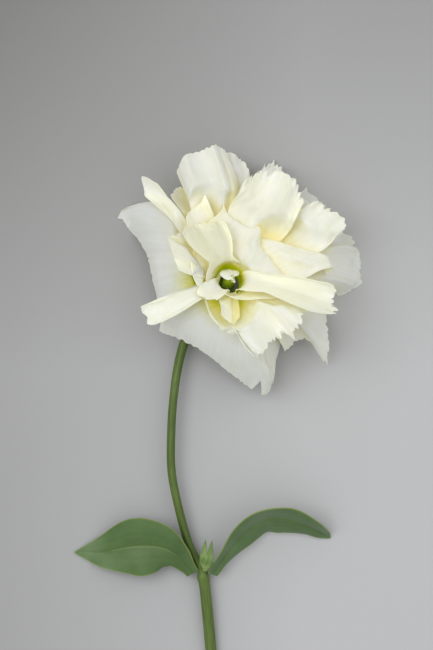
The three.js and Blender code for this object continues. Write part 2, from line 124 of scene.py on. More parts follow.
CLAW_DISTANCE = 5.8
CLAW_WIDTH = 2.8
CLAW_SPACING = 0.85
PETAL_SPACING = 1.4
THROAT_RADIUS = 4.3
RING_STEP = 1.2
RINGS = 48
SPOKES = 120
SPOKE = 2 * math.pi / SPOKES
SLOPE_ROUND = 0.9
SLOPE_OUT = 1.1
SETTLING = 0.03
LONGEST = 56
OPENING = 1.6

crowd = np.zeros((RINGS, SPOKES))


def crowd_at(distance, heading):
    x = np.clip((distance - CLAW_DISTANCE) / RING_STEP, 0, RINGS - 1.001)
    y = heading / SPOKE
    i, j = np.floor(x).astype(int), np.floor(y).astype(int)
    s, t = x - i, y - j
    near, far = j % SPOKES, (j + 1) % SPOKES
    low = crowd[i, near] * (1 - t) + crowd[i, far] * t
    high = crowd[np.minimum(i + 1, RINGS - 1), near] * (1 - t) + crowd[np.minimum(i + 1, RINGS - 1), far] * t
    return low * (1 - s) + high * s


def add_to_crowd(rows):
    """rows has shape (n, m, 3): distance, opening and heading."""
    n, m, _ = rows.shape
    i, j = np.meshgrid(np.linspace(0, n - 1, 5 * n - 4), np.linspace(0, m - 1, 5 * m - 4), indexing="ij")
    a, b = np.minimum(i.astype(int), n - 2), np.minimum(j.astype(int), m - 2)
    s, t = (i - a)[..., None], (j - b)[..., None]
    mixed = (rows[a, b] * (1 - t) + rows[a, b + 1] * t) * (1 - s) + (
        rows[a + 1, b] * (1 - t) + rows[a + 1, b + 1] * t
    ) * s
    distance, opening, heading = mixed[..., 0], mixed[..., 1], mixed[..., 2]
    spacing = CLAW_SPACING + (PETAL_SPACING - CLAW_SPACING) * smooth(8, 20, distance)
    ring, spoke = (distance - CLAW_DISTANCE) / RING_STEP, heading / SPOKE
    for p in (np.floor(ring), np.ceil(ring)):
        for q in (np.floor(spoke), np.ceil(spoke)):
            place = (np.clip(p, 0, RINGS - 1).astype(int), q.astype(int) % SPOKES)
            np.maximum.at(crowd, place, opening + spacing / distance)
    for turn in (1, -1):
        for j in list(range(2 * SPOKES))[::turn]:
            pulled = crowd[:, (j - turn) % SPOKES] - SLOPE_ROUND * SPOKE
            crowd[:, j % SPOKES] = np.maximum(crowd[:, j % SPOKES], pulled)
    drop = SLOPE_OUT * RING_STEP / (CLAW_DISTANCE + np.arange(RINGS) * RING_STEP)
    for i in range(1, RINGS):
        crowd[i] = np.maximum(crowd[i], crowd[i - 1] - drop[i])
    for i in range(RINGS - 1, 0, -1):
        crowd[i - 1] = np.maximum(crowd[i - 1], crowd[i] - drop[i])


# rim, open, back, cup, roll and wave are the frame's own. fringe: depth of the teeth in the rim.
# ruffle: height of its ripples. hem: width and radius of a rim that is rolled back, or forward
# where the radius is negative. notches: place across from -1 to 1, width and depth of a deeper cut
# in the rim. tails: the same of a longer tooth. creases: place across, width and height of a sharp
# fold that runs lengthwise. dull: painted shade, how much greyer the petal is painted where it
# lies in shade. pale: above 1, its green and cream end nearer its claw. wide: its width against
# the frame's.
PETALS = [
    dict(name="inner_1", open=38, cup=-8, back=8, rim=[(-2, 4), (-4, 3), (-5, 0), (-3, -2), (0, -3)],
         fringe=0.8, ruffle=0.5, pale=1.3),
    dict(name="inner_2", open=24, cup=-4, rim=[(9, 6), (8, 8), (6, 10), (3, 9), (1, 7)], fringe=0.5,
         ruffle=0.3, hem=(10, -7), pale=1.2, wide=1.6),
    dict(name="inner_3", open=54, cup=-6, wave=(3, 2, 0.5),
         rim=[(7, 24), (2, 24), (-5, 23), (-10, 20), (-13, 16)], fringe=0.6, ruffle=0.5, shade_grey=0.9,
         pale=1.5, wide=0.66),
    dict(name="inner_4", open=50, cup=-8, rim=[(34, -8), (40, -8), (39, -3), (40, 2), (37, 4)],
         fringe=1.6, ruffle=0.8, wide=0.8, pale=1.4, shade_grey=0.35),
    dict(name="inner_5", open=30, back=20, rim=[(30, 5), (23, 11), (17, 17), (12, 23), (7, 29)],
         fringe=0.3, ruffle=0.1, hem=(12, 4.2), pale=1.3),
    dict(name="inner_6", open=50, cup=-12, back=6, rim=[(2, -8), (5, -11), (6, -11), (8, -9), (8, -6)],
         fringe=0.8, ruffle=0.5, pale=1.6),
    dict(name="inner_7", open=54, cup=-12, wave=(4, 2, 1),
         rim=[(10, -18), (14, -20), (22, -16), (27, -12), (32, -3)], fringe=1.8, ruffle=0.6,
         tails=[(-0.93, 0.1, 3), (-0.66, 0.07, 2.5), (0.3, 0.06, 2)]),
    dict(name="middle_1", open=48, back=14, rim=[(41, 9), (39, 13), (32, 15), (25, 17), (18, 19)],
         fringe=0.4, ruffle=0.3, hem=(7, 2.6)),
    dict(name="middle_2", open=62, cup=-6, wave=(3, 2, 0),
         rim=[(30, 31), (28, 37), (22, 41), (16, 41), (10, 38)], fringe=2.0, ruffle=0.9),
    dict(name="middle_3", open=64, cup=-4, wave=(3, 2, 2),
         rim=[(43, 20), (44, 24), (39, 29), (34, 31), (30, 29)], fringe=1.6, ruffle=0.8),
    dict(name="middle_4", open=66, cup=-6, rim=[(-2, 29), (-3, 31), (-6, 29), (-9, 27), (-10, 25)],
         fringe=0.6, ruffle=0.4, tails=[(-0.7, 0.5, 2)]),
    dict(name="middle_5", open=66, cup=-6, wave=(3, 2, 4),
         rim=[(-10, 20), (-15, 19), (-16, 18), (-14, 13), (-12, 8)], fringe=1.0, ruffle=0.6, shade_grey=0.3),
    dict(name="outer_1", open=68, cup=4, back=6, wave=(3, 2, 1),
         rim=[(3, 49), (0, 50), (-5, 48), (-10, 46), (-13, 41)], fringe=0.6, ruffle=0.3,
         creases=[(-0.62, 0.1, 1.2), (-0.4, 0.06, -0.7)]),
    dict(name="outer_2", open=76, back=6, wave=(3, 2, 3),
         rim=[(12, 41), (11, 44), (8, 47), (5, 48), (1, 48)], fringe=1.0, ruffle=0.6,
         creases=[(0.7, 0.12, -0.8)]),
    dict(name="outer_3", open=80, cup=-12, rim=[(-19, 36), (-23, 38), (-24, 35), (-23, 32), (-19, 30)],
         fringe=0.8, ruffle=0.4, tails=[(-0.4, 0.35, 2)]),
    dict(name="outer_4", open=84, cup=-6, rim=[(-9, 35), (-11, 36), (-13, 36), (-14, 35), (-15, 33)],
         fringe=1.2, ruffle=0.5, shade_grey=0.4),
    dict(name="outer_5", open=78, back=7, wave=(3, 2, 2),
         rim=[(28, 36), (23, 44), (19, 45), (14, 42), (10, 40)], fringe=3.0, ruffle=0.8,
         tails=[(-0.15, 0.06, 2.5), (0.2, 0.08, 2)]),
    dict(name="outer_6", open=88, back=16, wave=(3, 2, 0),
         rim=[(41, 30), (36, 32), (32, 36), (29, 35), (26, 36)], fringe=2.0, ruffle=0.8,
         tails=[(-0.85, 0.07, 5), (0.1, 0.14, 2.5)]),
    dict(name="outer_7", open=82, back=20, wave=(3, 2, 1),
         rim=[(41, -1), (48, 1), (52, 7), (50, 15), (47, 21)], fringe=1.9, ruffle=1.4,
         tails=[(0.75, 0.1, 2)], notches=[(0.36, 0.09, 3.5)],
         creases=[(-0.45, 0.2, -1.6), (0.0, 0.2, 1.8), (0.4, 0.14, -1.8), (0.68, 0.12, 1.2)]),
    dict(name="outer_8", open=82, back=10, cup=6, wave=(4, 2, 2),
         rim=[(24, -20), (31, -16), (38, -23), (39, -13), (39, -2)], fringe=1.0, ruffle=0.6,
         tails=[(-0.12, 0.05, 2), (0.04, 0.05, 2.5)], creases=[(0.12, 0.1, 0.7)]),
    dict(name="outer_9", open=92, cup=-14,
         rim=[(-19, -3), (-25, -5), (-24, -8), (-22, -11), (-18, -10)], fringe=1.3, ruffle=0.5,
         creases=[(0.15, 0.25, -1.2)]),
    dict(name="outer_10", open=88, back=20, cup=6, wave=(3, 2, 1),
         rim=[(-19, -13), (-4, -20), (11, -32), (19, -34), (21, -20)], fringe=0.4, ruffle=0.4,
         notches=[(0.16, 0.1, 4.5), (0.55, 0.06, 5)], creases=[(0.45, 0.08, 0.8)]),
    dict(name="outer_11", open=94, back=22, roll=(0, 14), wave=(3, 2, 2),
         rim=[(-13, 28), (-21, 30), (-33, 28), (-24, 14), (-19, -6)], fringe=0.7, ruffle=0.5,
         notches=[(-0.3, 0.07, 3)], tails=[(-0.12, 0.1, 2), (0.03, 0.08, 2.5)],
         creases=[(0.42, 0.04, -0.6), (0.52, 0.03, 0.5), (0.62, 0.04, -0.6)]),
]
PETAL_DEFAULTS = dict(
    cup=0, roll=(0, 0), back=0, wave=(0, 1, 0), fringe=1, ruffle=0.5, hem=None, notches=[], tails=[],
    creases=[], shade_grey=0, pale=1, wide=1)
TUBE_SOFTNESS = 0.1
LEAST_OPEN = 0.12
LEAST_SPREAD = 0.2
SHORTEST = CLAW_DISTANCE + 4
ROUNDS = 30
EASE = 0.7
# Where along a petal, or out to its sides, its shape sets in, from 0 to 1.
ROLLED_OUT = 0.5
ROLLED_ALONG = (0.2, 0.7)
CUPPED_ALONG = (0, 0.7)
WIDENED_ALONG = (0.05, 0.85)
ROW_STEP = 2.2
MOST_ROWS = 12
MOST_COLUMNS = 10
FEWEST = 4


class Shape:
    """A petal's own shape, before its neighbours push it."""

    def __init__(self, row):
        self.row = {**PETAL_DEFAULTS, **row}
        self.middle = self.rim(np.array([0.0]))[1][0]
        self.width = abs(float(np.diff(self.half(np.array([-1.0, 1.0])))[0]))
        length = self.rim(np.array([0.0]))[0][0] - CLAW_DISTANCE
        self.rows = int(np.clip(math.floor(length / ROW_STEP + 0.5), FEWEST, MOST_ROWS))
        self.columns = int(np.clip(math.floor(self.width / ROW_STEP + 0.5), FEWEST, MOST_COLUMNS))

    def spine(self, distance, u):
        tube = np.arcsin(np.minimum(1, THROAT_RADIUS / distance))
        flare = self.row["open"] * DEG * (1 - (1 - u) ** OPENING)
        return soft_max(tube, flare, TUBE_SOFTNESS) + self.row["back"] * DEG * u**3

    def bend(self, u, v):
        row = self.row
        edge = np.where(v < 0, row["roll"][0], row["roll"][1])
        rolled = edge * smooth(ROLLED_OUT, 1, np.abs(v)) * smooth(*ROLLED_ALONG, u)
        height, count, phase = row["wave"]
        waved = height * u * u * np.sin(math.pi * count * v + phase)
        return (row["cup"] * v * v * smooth(*CUPPED_ALONG, u) + rolled + waved) * DEG

    def rim(self, v):
        """How far out, and towards which heading, the settled rim is at v."""
        places = np.array(self.row["rim"], float)
        s = np.clip((v + 1) * 2, 0, 3.999)
        k = np.floor(s).astype(int)
        t = (s - k)[:, None]
        a, b, c, d = (places[np.clip(k + i, 0, 4)] for i in (-1, 0, 1, 2))
        aim = b + 0.5 * t * (c - a + t * (2 * a - 5 * b + 4 * c - d + t * (3 * (b - c) + d - a)))
        aim = aim - DRAWN_HEART[:2]
        reach, towards = np.hypot(aim[:, 0], aim[:, 1]), np.arctan2(aim[:, 1], aim[:, 0])
        distance, heading = reach.copy(), towards.copy()
        for _ in range(ROUNDS):
            own = np.maximum(self.spine(distance, 1.0) + self.bend(1.0, v), LEAST_OPEN)
            opening = soft_max(own, crowd_at(distance, heading), SETTLING)
            ray = from_heart(np.ones_like(v), opening, heading) - HEART
            heading = heading + EASE * wrapped(towards - np.arctan2(ray[:, 1], ray[:, 0]))
            wanted = np.clip(reach / np.hypot(ray[:, 0], ray[:, 1]), SHORTEST, LONGEST)
            distance = distance + EASE * (wanted - distance)
        return distance, heading

    def half(self, v):
        distance, heading = self.rim(v)
        spread = np.sin(np.maximum(self.spine(distance, 1.0), LEAST_SPREAD))
        return wrapped(heading - self.middle) * distance * spread

    def __call__(self, u, v):
        """Distance, opening and heading on the grid of u by v."""
        far, _ = self.rim(v)
        half = self.half(v)
        u, v = u[:, None], v[None, :]
        distance = CLAW_DISTANCE + (far - CLAW_DISTANCE) * u
        spine = self.spine(distance, u)
        claw = CLAW_WIDTH / 2 * v
        spread = claw + (half - claw) * smooth(*WIDENED_ALONG, u)
        heading = self.middle + spread / (distance * np.sin(np.maximum(spine, LEAST_SPREAD)))
        return np.stack([distance, np.maximum(spine + self.bend(u, v), LEAST_OPEN), heading], axis=-1)


def laid(shape, along, across):
    """Rows of a petal's places once it lies on those inside it."""
    own, pushed = None, 0
    for di in (-0.5, 0, 0.5):
        for dj in (-0.5, 0, 0.5):
            u = np.clip((np.arange(along + 1) + di) / along, 0, 1)
            v = np.clip(2 * (np.arange(across + 1) + dj) / across - 1, -1, 1)
            near = shape(u, v)
            pushed = np.maximum(pushed, crowd_at(near[..., 0], near[..., 2]))
            if di == 0 and dj == 0:
                own = near
    own[..., 1] = soft_max(own[..., 1], pushed, SETTLING)
    add_to_crowd(own)
    return own


# ---- Mesh helpers ----------------------------------------------------------------------------


def grid_piece(name, points, marks, closed=False):
    """A grid primitive whose points are moved to the array points, with marks kept on them.

    points has shape (n, m, 3), in millimetres. marks is a dict of arrays of shape (n, m).
    closed joins the last column to the first and closes both ends, which makes a solid.
    """
    n, m, _ = points.shape
    bpy.ops.object.select_all(action="DESELECT")
    bpy.ops.mesh.primitive_grid_add(x_subdivisions=m - 1, y_subdivisions=n - 1, size=1, calc_uvs=True)
    piece = bpy.context.object
    piece.name = name
    piece.data.name = name
    piece.data.vertices.foreach_set("co", (points.reshape(-1, 3) * MM).ravel())
    for mark, values in marks.items():
        layer = piece.data.attributes.new(mark, "FLOAT", "POINT")
        layer.data.foreach_set("value", np.ascontiguousarray(values, dtype=np.float32).ravel())
    piece.location = (0, 0, 0)
    piece.data.update()
    if closed:
        bpy.ops.object.mode_set(mode="EDIT")
        bpy.ops.mesh.select_all(action="SELECT")
        bpy.ops.mesh.remove_doubles(threshold=1e-6)
        bpy.ops.mesh.select_all(action="SELECT")
        bpy.ops.mesh.fill_holes(sides=0)
        bpy.ops.mesh.select_all(action="SELECT")
        bpy.ops.mesh.normals_make_consistent(inside=False)
        bpy.ops.object.mode_set(mode="OBJECT")
    return piece


def thicken(piece, thickness):
    """Gives a sheet its thickness on both sides of it."""
    wall = piece.modifiers.new("wall", "SOLIDIFY")
    wall.thickness = thickness * MM
    wall.offset = 0
    wall.use_even_offset = False
    bpy.context.view_layer.objects.active = piece
    bpy.ops.object.modifier_apply(modifier=wall.name)


def finish_piece(piece, material, node, smooth_angle=50):
    bpy.ops.object.select_all(action="DESELECT")
    piece.select_set(True)
    bpy.context.view_layer.objects.active = piece
    bpy.ops.object.shade_smooth_by_angle(angle=smooth_angle * DEG)
    piece.data.materials.clear()
    piece.data.materials.append(material)
    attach(piece, "root")
    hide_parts(node)


# ---- Materials -------------------------------------------------------------------------------


def linear(code):
    """An sRGB hex colour as linear RGBA."""
    parts = [int(code[i : i + 2], 16) / 255 for i in (1, 3, 5)]
    return [c / 12.92 if c <= 0.04045 else ((c + 0.055) / 1.055) ** 2.4 for c in parts] + [1.0]


def add_node(tree, kind, inputs=None, out=0, stops=(), **settings):
    """Adds a node and gives one of its outputs.

    inputs are set or linked by name or number, stops are the places and colours along a colour
    ramp, and settings are the node's own.
    """
    node = tree.nodes.new("ShaderNode" + kind)
    for key, value in settings.items():
        setattr(node, key, value)
    for key, value in (inputs or {}).items():
        if isinstance(value, bpy.types.NodeSocket):
            tree.links.new(value, node.inputs[key])
        else:
            node.inputs[key].default_value = value
    if stops:
        elements = node.color_ramp.elements
        while len(elements) < len(stops):
            elements.new(0.5)
        for element, (position, color) in zip(elements, stops):
            element.position = position
            element.color = linear(color) if isinstance(color, str) else color
    return node.outputs[out] if node.outputs else None


def new_material(name, marks=()):
    """An empty material, its node tree, and what it reads: object coordinates, then each mark."""
    material = bpy.data.materials.new(name)
    material.use_nodes = True
    tree = material.node_tree
    tree.nodes.clear()
    place = add_node(tree, "TexCoord", out="Object")
    read = [add_node(tree, "Attribute", out="Fac", attribute_name=mark) for mark in marks]
    return material, tree, place, *read


def petal_material(settings):
    """Lisianthus petal: a thin, soft, waxy white skin over watery cells.

    Light goes into it and comes out again, so its shades are pale and creamy. It is white at the
    rim, cream lower down and yellow-green at the claw, with fine veins that fan out to the rim.
    Painted warm shade tints the places deep between petals, painted shade greys petals that lie in
    shade, and a faint painted glow lights the closed places.
    """
    material, tree, place, along, across, rim, shade_grey, free = new_material(
        "lisianthus_petal", ("along", "across", "rim", "shade_grey", "open"))
    # Veins: about 1 mm apart, drawn by a noise that is stretched along the petal.
    slow = add_node(tree, "Math", {0: along, 1: 0.05}, operation="MULTIPLY")
    grain = add_node(tree, "CombineXYZ", {"X": across, "Y": slow})
    veins = add_node(tree, "TexNoise", {"Vector": grain, "Scale": 1.3, "Detail": 4, "Roughness": 0.6})
    drift = add_node(tree, "TexNoise", {"Vector": place, "Scale": 90, "Detail": 3})
    cells = add_node(tree, "TexNoise", {"Vector": place, "Scale": 2600, "Detail": 2})
    # Green at the claw, yellow-green for a few millimetres, cream and then white.
    reach = add_node(tree, "Math", {0: drift, 1: 3.0, 2: along}, operation="MULTIPLY_ADD")
    reach = add_node(tree, "Math", {0: veins, 1: 2.0, 2: reach}, operation="MULTIPLY_ADD")
    reach = add_node(tree, "Math", {0: reach, 1: 40.0}, operation="DIVIDE")
    body = add_node(tree, "ValToRGB", {"Fac": reach}, stops=[
        (0.0, "#b2c808"), (0.19, "#b0c406"), (0.25, "#d4da4c"), (0.3, "#eeedbc"), (0.37, "#f4f5e0"),
        (0.46, settings.petal),
    ])
    pale = add_node(tree, "ValToRGB", {"Fac": veins}, stops=[(0.35, "#efeedd"), (0.6, "#ffffff")])
    tinting = {"out": 2, "data_type": "RGBA", "blend_type": "MULTIPLY"}
    veined = add_node(tree, "Mix", {0: 0.3, 6: body, 7: pale}, **tinting)
    # Painted warm shade: deep between petals, where little of the sky is open, the colour is painted
    # cream-yellow for light that comes off cream petals alone and has warmed.
    painted_warm_shade = add_node(tree, "ValToRGB", {"Fac": free}, stops=[
        (0.12, "#eddc88"), (0.35, "#f6ecb8"), (0.55, "#fdfcec"), (0.7, "#ffffff"), (0.95, "#f0f2e9"),
    ])
    warm_shade_painted = add_node(tree, "Mix", {0: 1.0, 6: veined, 7: painted_warm_shade}, **tinting)
    # Painted shade: a petal with a dull mark is greyed, as where it lies in shade.
    shade_grey_share = add_node(tree, "Math", {0: shade_grey, 1: 0.6}, operation="MULTIPLY")
    shade_greyed = add_node(tree, "Mix", {0: shade_grey_share, 6: warm_shade_painted, 7: linear("#d8d6c4")}, **tinting)
    # The thin rim is tinted a faint straw colour, less than 1 mm wide.
    edge = add_node(tree, "Math", {0: rim, 1: -1.2, 2: 1.0}, operation="MULTIPLY_ADD", use_clamp=True)
    edge = add_node(tree, "Math", {0: edge, 1: 0.15}, operation="MULTIPLY")
    tipped = add_node(tree, "Mix", {0: edge, 6: shade_greyed, 7: linear("#efeacb")}, out=2, data_type="RGBA")
    relief = add_node(tree, "Math", {0: cells, 1: 0.15, 2: veins}, operation="MULTIPLY_ADD")
    bump = add_node(tree, "Bump", {"Strength": 0.25, "Distance": 0.0002, "Height": relief})
    # Painted glow: a small emission lights the closed places between petals, standing in for light
    # that thin petals pass on to each other.
    painted_glow = add_node(tree, "Math", {0: 0.38, 1: free}, operation="SUBTRACT", use_clamp=True)
    painted_glow = add_node(tree, "Math", {0: painted_glow, 1: 0.7}, operation="MULTIPLY")
    skin = add_node(tree, "BsdfPrincipled", {
        "Base Color": tipped, "Emission Color": veined, "Emission Strength": painted_glow, "Roughness": 0.55,
        "IOR": 1.4, "Specular IOR Level": 0.2, "Subsurface Weight": 0.6,
        "Subsurface Radius": (1.0, 0.9, 0.55), "Subsurface Scale": 0.003, "Sheen Weight": 0.06,
        "Sheen Roughness": 0.5, "Normal": bump,
    })
    add_node(tree, "OutputMaterial", {"Surface": skin})
    return material


def leaf_material(settings):
    """Lisianthus leaf: a thick, smooth blade with a grey-blue wax bloom that dulls its gloss.

    The three main veins are a little sunk and paler, and the thin margin is painted a paler
    yellow-green, standing in for light let through it.
    """
    material, tree, place, across, rim = new_material("lisianthus_leaf", ("across", "rim"))
    broad = add_node(tree, "TexNoise", {"Vector": place, "Scale": 60, "Detail": 4})
    cells = add_node(tree, "TexNoise", {"Vector": place, "Scale": 900, "Detail": 2})
    blade = add_node(tree, "ValToRGB", {"Fac": broad}, stops=[
        (0.3, "#395224"), (0.5, settings.leaf), (0.72, "#576f47"),
    ])
    aside = add_node(tree, "Math", {0: across}, operation="ABSOLUTE")
    vein = add_node(tree, "Math", {0: aside, 1: -14.0, 2: 1.0}, operation="MULTIPLY_ADD", use_clamp=True)
    vein = add_node(tree, "Math", {0: vein, 1: 0.3}, operation="MULTIPLY")
    ribbed = add_node(tree, "Mix", {0: vein, 6: blade, 7: linear("#7f9458")}, out=2, data_type="RGBA")
    # Painted light: the margin's yellow-green tint stands in for light let through the thin edge.
    margin_light = add_node(tree, "Math", {0: rim, 1: -2.2, 2: 1.0}, operation="MULTIPLY_ADD", use_clamp=True)
    margin_light = add_node(tree, "Math", {0: margin_light, 1: 0.4}, operation="MULTIPLY")
    rimmed = add_node(tree, "Mix", {0: margin_light, 6: ribbed, 7: linear("#97a24a")}, out=2, data_type="RGBA")
    bump = add_node(tree, "Bump", {"Strength": 0.4, "Distance": 0.0002, "Height": cells})
    skin = add_node(tree, "BsdfPrincipled", {
        "Base Color": rimmed, "Roughness": 0.48, "IOR": 1.45, "Specular IOR Level": 0.4,
        "Subsurface Weight": 0.08, "Subsurface Radius": (0.5, 1.0, 0.2), "Subsurface Scale": 0.0006,
        "Sheen Weight": 0.12, "Sheen Tint": (0.8, 0.9, 1.0, 1.0), "Normal": bump,
    })
    add_node(tree, "OutputMaterial", {"Surface": skin})
    return material


def stem_material(settings):
    """Lisianthus stem: a smooth green cane, waxy and faintly ribbed, paler at its cut end."""
    material, tree, place, along, around = new_material("lisianthus_stem", ("along", "around"))
    # Fibres: a noise drawn round the cane and stretched along it.
    fibre = add_node(tree, "CombineXYZ", {
        "X": add_node(tree, "Math", {0: around}, operation="SINE"),
        "Y": add_node(tree, "Math", {0: around}, operation="COSINE"),
        "Z": add_node(tree, "Math", {0: along, 1: 0.03}, operation="MULTIPLY"),
    })
    fibres = add_node(tree, "TexNoise", {"Vector": fibre, "Scale": 5, "Detail": 4})
    broad = add_node(tree, "TexNoise", {"Vector": place, "Scale": 70, "Detail": 2})
    mixed = add_node(tree, "Math", {0: fibres, 1: broad}, operation="ADD")
    mixed = add_node(tree, "Math", {0: mixed, 1: 0.5}, operation="MULTIPLY")
    cane = add_node(tree, "ValToRGB", {"Fac": mixed}, stops=[
        (0.32, "#3a4b1a"), (0.5, settings.stem), (0.68, "#647639"),
    ])
    pith = add_node(tree, "Math", {0: along, 1: 0.0}, operation="LESS_THAN")
    cut = add_node(tree, "Mix", {0: pith, 6: cane, 7: linear("#b9c48c")}, out=2, data_type="RGBA")
    bump = add_node(tree, "Bump", {"Strength": 0.3, "Distance": 0.0003, "Height": fibres})
    skin = add_node(tree, "BsdfPrincipled", {
        "Base Color": cut, "Roughness": 0.42, "IOR": 1.45, "Specular IOR Level": 0.4,
        "Subsurface Weight": 0.1, "Subsurface Radius": (0.5, 1.0, 0.3), "Subsurface Scale": 0.0006,
        "Normal": bump,
    })
    add_node(tree, "OutputMaterial", {"Surface": skin})
    return material


def young_green_material(name, low, high, roughness):
    """Young green tissue: smooth and moist, in two close greens that drift into each other."""
    material, tree, place = new_material(name)
    drift = add_node(tree, "TexNoise", {"Vector": place, "Scale": 260, "Detail": 3})
    color = add_node(tree, "ValToRGB", {"Fac": drift}, stops=[(0.35, low), (0.65, high)])
    bump = add_node(tree, "Bump", {"Strength": 0.25, "Distance": 0.0002, "Height": drift})
    skin = add_node(tree, "BsdfPrincipled", {
        "Base Color": color, "Roughness": roughness, "IOR": 1.42, "Subsurface Weight": 0.15,
        "Subsurface Radius": (0.6, 1.0, 0.3), "Subsurface Scale": 0.0006, "Normal": bump,
    })
    add_node(tree, "OutputMaterial", {"Surface": skin})
    return material


def card_material(settings):
    """Matt card: uncoated grey paper with painted shade that darkens it softly towards its far left corner."""
    material, tree, place = new_material("matt_card")
    x = add_node(tree, "SeparateXYZ", {"Vector": place}, out="X")
    y = add_node(tree, "SeparateXYZ", {"Vector": place}, out="Y")
    across = add_node(tree, "MapRange", {"Value": x, "From Min": -0.075, "From Max": 0.03, "To Max": 0.45})
    along = add_node(tree, "MapRange", {"Value": y, "From Min": 0.15, "From Max": 0.02, "To Max": 0.55})
    grain = add_node(tree, "TexNoise", {"Vector": place, "Scale": 900, "Detail": 2})
    # Painted shade: the card is darker towards its far left corner, where light falls off, with a faint paper
    # grain over it.
    painted_falloff_and_grain = add_node(tree, "Math", {0: across, 1: along}, operation="ADD")
    grain = add_node(tree, "Math", {0: grain, 1: 0.5}, operation="SUBTRACT")
    painted_falloff_and_grain = add_node(tree, "Math", {0: grain, 1: 0.03, 2: painted_falloff_and_grain}, operation="MULTIPLY_ADD")
    color = add_node(tree, "ValToRGB", {"Fac": painted_falloff_and_grain}, stops=[
        (0.0, "#747473"), (0.5, "#919192"), (1.0, settings.floor),
    ])
    skin = add_node(tree, "BsdfPrincipled", {
        "Base Color": color, "Roughness": 0.9, "Specular IOR Level": 0.1,
    })
    add_node(tree, "OutputMaterial", {"Surface": skin})
    return material


# ---- Settings --------------------------------------------------------------------------------


class BloomSettings(bpy.types.PropertyGroup):
    petal_thickness: bpy.props.FloatProperty(
        name="Petal thickness", description="Thickness of a petal", default=0.00016, min=0.0001, max=0.0005,
        precision=5, unit="LENGTH", subtype="DISTANCE")
    fringe: bpy.props.FloatProperty(
        name="Fringe", description="How deep the teeth in the rims are, against the usual", default=1.0,
        min=0, max=2, subtype="FACTOR")
    ruffle: bpy.props.FloatProperty(
        name="Ruffle", description="How high the rims ripple, against the usual", default=1.0, min=0, max=2,
        subtype="FACTOR")
    petal: bpy.props.FloatVectorProperty(
        name="Petal", description="Colour of a petal's upper half", subtype="COLOR", size=4, min=0, max=1,
        default=linear("#f9f9e6"))


class GreenSettings(bpy.types.PropertyGroup):
    leaf_thickness: bpy.props.FloatProperty(
        name="Leaf thickness", description="Thickness of a leaf", default=0.0004, min=0.0002, max=0.0006,
        precision=5, unit="LENGTH", subtype="DISTANCE")
    leaf: bpy.props.FloatVectorProperty(
        name="Leaf", description="Colour of the leaves", subtype="COLOR", size=4, min=0, max=1,
        default=linear("#46602f"))
    stem: bpy.props.FloatVectorProperty(
        name="Stem", description="Colour of the stem", subtype="COLOR", size=4, min=0, max=1,
        default=linear("#4c6124"))


class StageSettings(bpy.types.PropertyGroup):
    floor: bpy.props.FloatVectorProperty(
        name="Floor", description="Colour of the floor", subtype="COLOR", size=4, min=0, max=1,
        default=linear("#abacae"))
    key: bpy.props.FloatProperty(
        name="Key light", description="Strength of the main light", default=7.1, unit="POWER", min=0)
    fill: bpy.props.FloatProperty(
        name="Fill light", description="Strength of the fill light", default=3.3, unit="POWER", min=0)


# ---- Petals ----------------------------------------------------------------------------------

FINE_ALONG = 72
COLUMN = 0.28  # width of a fine column, in millimetres
LEAST_COLUMNS = 48
MOST_FINE_COLUMNS = 190
FRINGE = 2.2  # depth of the deepest teeth, for each unit of fringe
WIDER_CLAW = 1.6  # how much wider a claw is than the frame's, so that the throat is closed


def teeth(width, depth, seed):
    """How far an irregularly torn rim is cut back at each of its places, in millimetres."""
    draw = np.random.RandomState(seed)
    knots, heights, place = [-1.0], [0.0], 0.0
    while place < width + 3:
        tip = draw.uniform(0.25, 1.3)
        valley = draw.uniform(0.25, 0.9)
        knots += [place, place + tip, place + tip + 0.12]
        heights += [draw.uniform(0.0, 0.3), draw.uniform(0.4, 1.0) ** 1.5, draw.uniform(0.5, 1.0) ** 1.5]
        place += tip + 0.12 + valley
    phase = draw.uniform(0, 6, 2)
    knots = np.array(knots)
    swell = 0.55 + 0.3 * np.sin(knots * 0.42 + phase[0]) + 0.15 * np.sin(knots * 1.1 + phase[1])
    return lambda x: depth * np.interp(x, knots, np.array(heights) * swell)


def tent(v, marks):
    """The sum of pointed shapes, each with its place, width and height."""
    heights = [height * np.maximum(0, 1 - np.abs(v - place) / width) for place, width, height in marks]
    return sum(heights, 0 * v)


def noise_over(points, scale, seed):
    shift = Vector((seed * 3.7, seed * 1.3, 0))
    values = [noise.noise(Vector(p) * scale + shift) for p in points.reshape(-1, 3).tolist()]
    return np.array(values).reshape(points.shape[:-1])


SKY = [
    (math.cos(turn) * math.sqrt(1 - up * up), math.sin(turn) * math.sqrt(1 - up * up), up)
    for k in range(28)
    for up, turn in [(0.12 + 0.86 * (k + 0.5) / 28, k * 2.39996)]
]
SHADE_REACH = 24  # how far off another petal still shades a place, in millimetres
SHADE_STEP = 4  # fine rows and columns to each place whose shading is worked out


RAY_START = 0.8
FORWARD_START = 0.75  # of a forward roll's radius
PAST_RIM = 9
FARTHEST = 1.2
STEP_BACK = 0.03
NUDGE = 0.01
# Where along a petal, from 0 to 1, these set in.
TEETH_FROM = 0.72
CURL_FROM = 0.9
CREASED_ALONG = (0.3, 0.9)
CRINKLED_ALONG = (0.1, 0.5)
CLAW_ALONG = (0.12, 0.5)
# Ripples: where each sets in, its height, how fine it is and what it adds to the seed.
RIPPLES = [(0.5, 2.6, 0.19, 0), (0.8, 1.6, 0.55, 40)]
RIPPLE_STRETCH = 0.35
CURL = 0.35
CURL_FINENESS = 1.3
CURL_SEED = 80
CRINKLE = 0.5
CRINKLE_FINENESS = 0.11
FLOOR_SHARE = 0.6  # of a sheet's thickness
FLOOR_SOFTNESS = 0.4
TINTED_LENGTH = 32
PATTERN_STEP = 60
